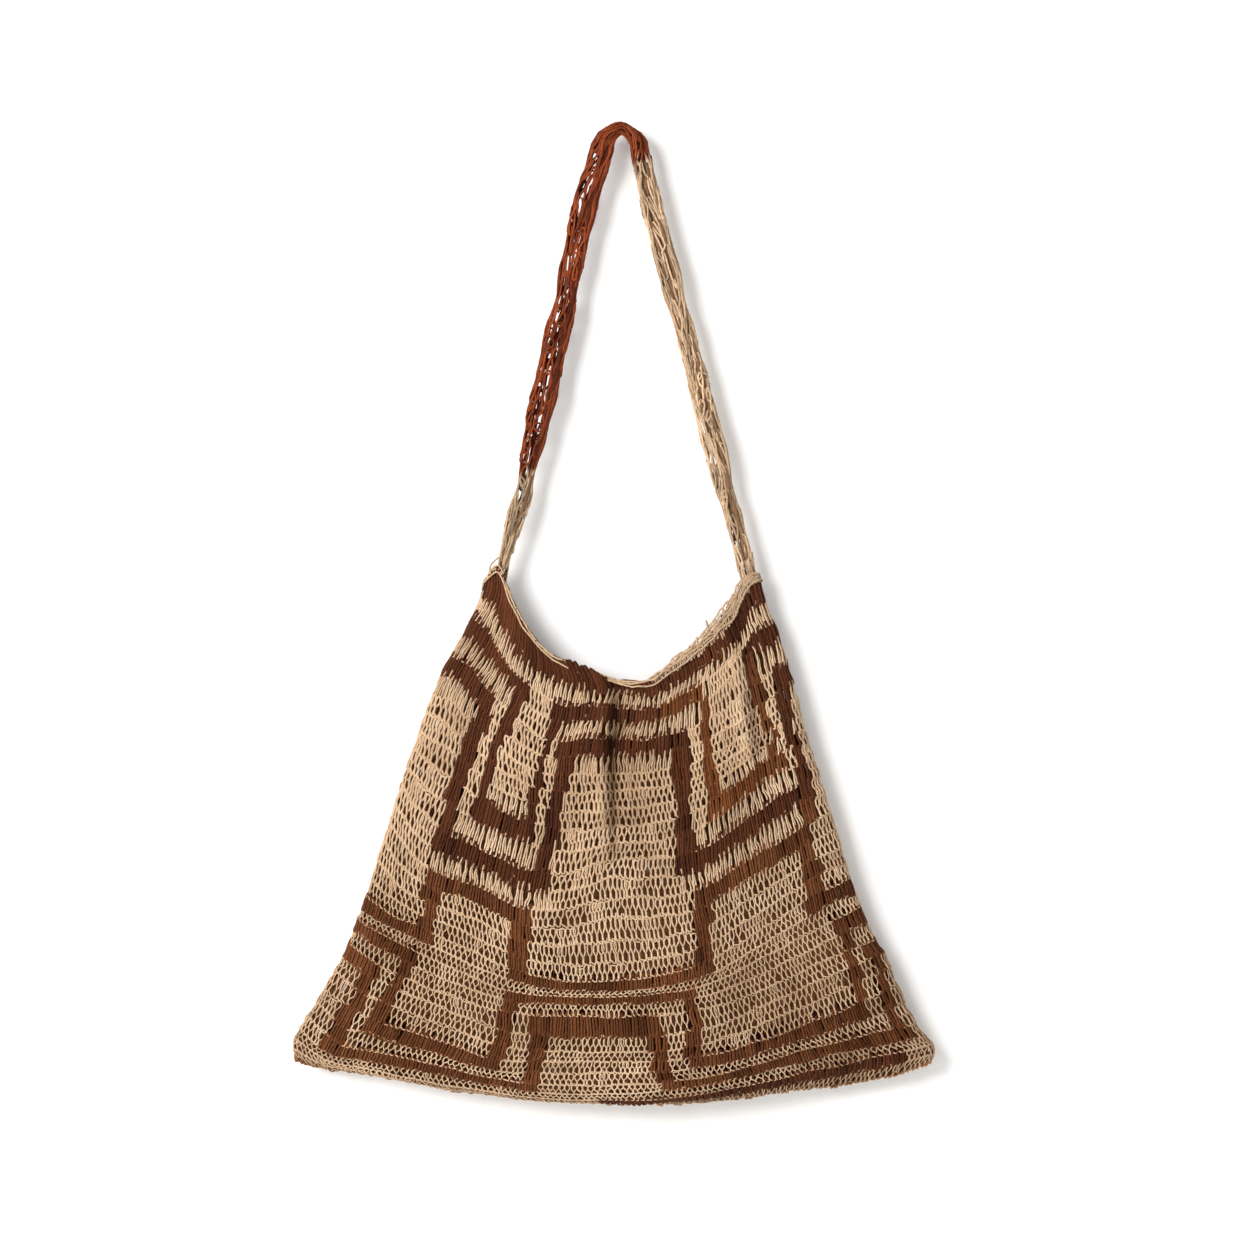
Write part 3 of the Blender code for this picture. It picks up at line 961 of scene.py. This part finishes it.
edging = make_piece("mouth_edging_strings", edging_strings(), net_finish, "edging_string", "mouth_edging")

# %% [markdown]
# ## The strap
#
# The strap is a long looped band that has rolled up along its length, so it hangs as a loose tube
# of strings with slits where the wall shows through. Its loops are drawn out along the strap. It
# is dyed rust over the bend and down most of the left side.

# %% Strap
STRAP_PATH = (
    # across, down, width, depth
    (502.5, 570.0, 7.5, 9.5),
    (506.3, 552.0, 13.0, 9.0),
    (511.5, 533.0, 17.0, 8.5),
    (521.0, 500.0, 19.0, 8.5),
    (530.0, 460.0, 20.5, 8.5),
    (538.5, 420.0, 25.0, 8.5),
    (547.5, 380.0, 24.5, 8.5),
    (556.0, 340.0, 25.5, 8.5),
    (566.0, 296.0, 24.5, 9.0),
    (577.5, 240.0, 24.0, 9.0),
    (587.5, 195.0, 24.0, 9.5),
    (601.0, 155.0, 22.5, 10.5),
    (605.5, 138.0, 20.0, 11.5),
    (620.0, 127.8, 14.5, 12.0),
    (635.0, 138.0, 19.5, 11.5),
    (640.0, 154.0, 21.0, 10.5),
    (649.0, 195.0, 21.0, 9.5),
    (660.3, 240.0, 20.5, 9.0),
    (673.8, 290.0, 21.0, 9.0),
    (687.0, 340.0, 21.5, 8.5),
    (697.5, 380.0, 21.5, 8.5),
    (707.0, 420.0, 22.5, 8.5),
    (718.0, 460.0, 22.0, 8.5),
    (728.0, 500.0, 19.5, 8.5),
    (739.5, 540.0, 18.5, 9.0),
    (747.0, 572.0, 18.5, 10.0),
)
STRAP_LOOPS = 10
STRAP_COURSE = 0.0165
STRAP_RADIUS = 0.00074
STRAP_REACH = 0.007  # how far the strings run on into the bag's corners
RUST_FROM, RUST_TO = 0.064, 0.3125  # metres along the strap, from the left end
# one long loop of the strap: across in loops, along in courses, out in string thicknesses
LONG_LOOP = np.array((
    (-0.50, -0.09, -0.10),
    (-0.22, -0.05, 0.00),
    (-0.12, 0.12, 0.10),
    (-0.10, 0.36, -0.05),
    (0.16, 0.55, -0.30),
    (0.36, 0.78, -0.20),
    (0.30, 1.03, 0.15),
    (0.00, 1.17, 0.50),
    (-0.30, 1.03, 0.40),
    (-0.36, 0.78, 0.20),
    (-0.16, 0.55, 0.25),
    (0.10, 0.36, 0.45),
    (0.12, 0.12, 0.30),
    (0.22, -0.05, 0.05),
))
# the rolled-in edge: its strings, and which side shares they fill from one end to the other
ROLLED_STRINGS = 9
ROLLED_EDGE = (
    # share of the strap's length, first and last side share, positive to the left
    (0.00, -0.90, -0.50),
    (0.42, -0.90, -0.50),
    (0.58, -0.62, 0.80),
    (0.80, -0.62, 0.80),
    (0.88, 0.25, 0.88),
    (1.00, 0.25, 0.88),
)

strap_table = np.array(STRAP_PATH)
strap_places = (strap_table[:, :2] - (PEG_ACROSS, PEG_DOWN)) * (UNIT, -UNIT)
strap_knots = np.concatenate([[0], np.cumsum(np.linalg.norm(np.diff(strap_places, axis=0), axis=1))])
strap_length = strap_knots[-1]


def strap_points(turn, along, lift):
    """Points round the rolled strap: middle + side * a * sin(turn) + depth * b * cos(turn)."""
    inside = np.clip(along, 0.001, strap_length - 0.001)
    ahead = smooth(strap_knots, strap_places, inside + 0.001)
    ahead -= smooth(strap_knots, strap_places, inside - 0.001)
    ahead /= np.linalg.norm(ahead, axis=1, keepdims=True)
    beyond = along - np.clip(along, 0, strap_length)
    centre = smooth(strap_knots, strap_places, along) + ahead * beyond[:, None]
    size = smooth(strap_knots, strap_table[:, 2:] * UNIT / 2, along) - STRAP_RADIUS * 1.3
    side = np.stack([-ahead[:, 1], 0 * ahead[:, 0], ahead[:, 0]], axis=1)
    back = np.array([0.0, 1.0, 0.0])
    middle = np.stack([centre[:, 0], 0 * along, centre[:, 1]], axis=1)
    outward = side * (np.sin(turn) * size[:, 1])[:, None]
    outward += back * (np.cos(turn) * size[:, 0])[:, None]
    outward /= np.linalg.norm(outward, axis=1, keepdims=True)
    offset = side * (np.sin(turn) * size[:, 0])[:, None]
    offset += back * (np.cos(turn) * size[:, 1])[:, None]
    return middle + offset + outward * lift[:, None], outward


def strap_dye(along, turn):
    """Rust between two places along the strap, tan beyond, and a longer sliver of rust outside."""
    sliver = 0.016 * np.clip(np.sin(turn) - 0.5, 0, 0.5) * 2
    rust = (along > RUST_FROM - sliver) & (along < RUST_TO)
    tan = np.array(DYES["strap tan"]) * np.where(along < RUST_FROM, 0.80, 1.0)[:, None]
    return np.where(rust[:, None], DYES["rust"], tan)


def strap_strings():
    """The strap's courses of long loops round the roll, then the rolled-in edge as long strings."""
    strings = []
    drift = wanderer(0.10)
    stagger = wanderer(0.05)
    lumps = wanderer(0.022)
    reach = strap_length + 2 * STRAP_REACH
    courses = int(round(reach / STRAP_COURSE))
    step = reach / courses
    for course in range(courses):
        middle = (np.arange(STRAP_LOOPS) + 0.5 * (course % 2))[:, None]
        spread = 1 + chance.normal(0, 0.18, (STRAP_LOOPS, 1))
        uneven = chance.normal(0, 0.08, (STRAP_LOOPS, 1))
        up = LONG_LOOP[None, :, 1] + uneven * (LONG_LOOP[None, :, 1] > 0.5)
        offset = LONG_LOOP[None, :, 0] * np.where(np.abs(LONG_LOOP[:, 0]) > 0.45, 1, spread)
        turn = ((middle + offset) / STRAP_LOOPS * 2 * math.pi).ravel()
        along = ((course + 1 - up) * step).ravel() - STRAP_REACH
        # links of neighbouring loops don't line up: each place round the strap has its own lead
        along = along + 0.45 * step * stagger(0.020 * np.cos(turn), 0.020 * np.sin(turn) + along * 0.4)
        turn = turn + 0.25 * drift(along, np.sin(turn) * 0.03)
        along = np.clip(along, -STRAP_REACH, strap_length + STRAP_REACH)
        lift = np.tile(LONG_LOOP[:, 2], STRAP_LOOPS) * 2 * STRAP_RADIUS * 0.7
        lift += 0.0006 * lumps(along, 0.02 * np.sin(turn))
        path, outward = strap_points(turn, along, lift)
        tint = np.clip(chance.normal(1, 0.24, STRAP_LOOPS), 0.45, 1.5)
        tint = np.repeat(tint, len(LONG_LOOP))
        dye = strap_dye(along, turn) * tint[:, None]
        strings.append(lay_string(path, outward, STRAP_RADIUS, dye, True))
    # the band's rolled-in edge lies inside the tube and shuts most of the slits on one side
    along = np.linspace(-STRAP_REACH, strap_length + STRAP_REACH, 260)
    edge = np.array(ROLLED_EDGE)
    first = np.interp(along / strap_length, edge[:, 0], edge[:, 1])
    last = np.interp(along / strap_length, edge[:, 0], edge[:, 2])
    for number in range(ROLLED_STRINGS):
        share = number / (ROLLED_STRINGS - 1)
        waver = wanderer(0.03)
        none = np.zeros_like(along)
        side = first + (last - first) * share + 0.10 * waver(along, none)
        turn = np.arcsin(np.clip(side, -0.9, 0.9))
        back = np.full_like(along, -0.0022) + 0.0006 * waver(along, none + 1)
        path, outward = strap_points(turn, along, back)
        # painted shade: the rolled-in strings lie inside the tube and are darkened for it
        dye = strap_dye(along, turn) * (0.72 + 0.2 * chance.random())
        strings.append(lay_string(path, outward, STRAP_RADIUS * 1.15, dye, False))
    return strings


strap = make_piece("strap_strings", strap_strings(), strap_finish, "strap_string", "strap")
print("Strap", round(strap_length, 3), "m long")

# %% [markdown]
# ## What the net was before it was hung
#
# Each piece of net is a sheet: so many loops round by so many courses. Laid flat and eased out,
# a loop takes 4.1 mm of its course and a course 11.8 mm, for the hung net has drawn in.

# %% Sheets
for number, piece in enumerate(net_pieces):
    first = number * COURSES_A_PIECE
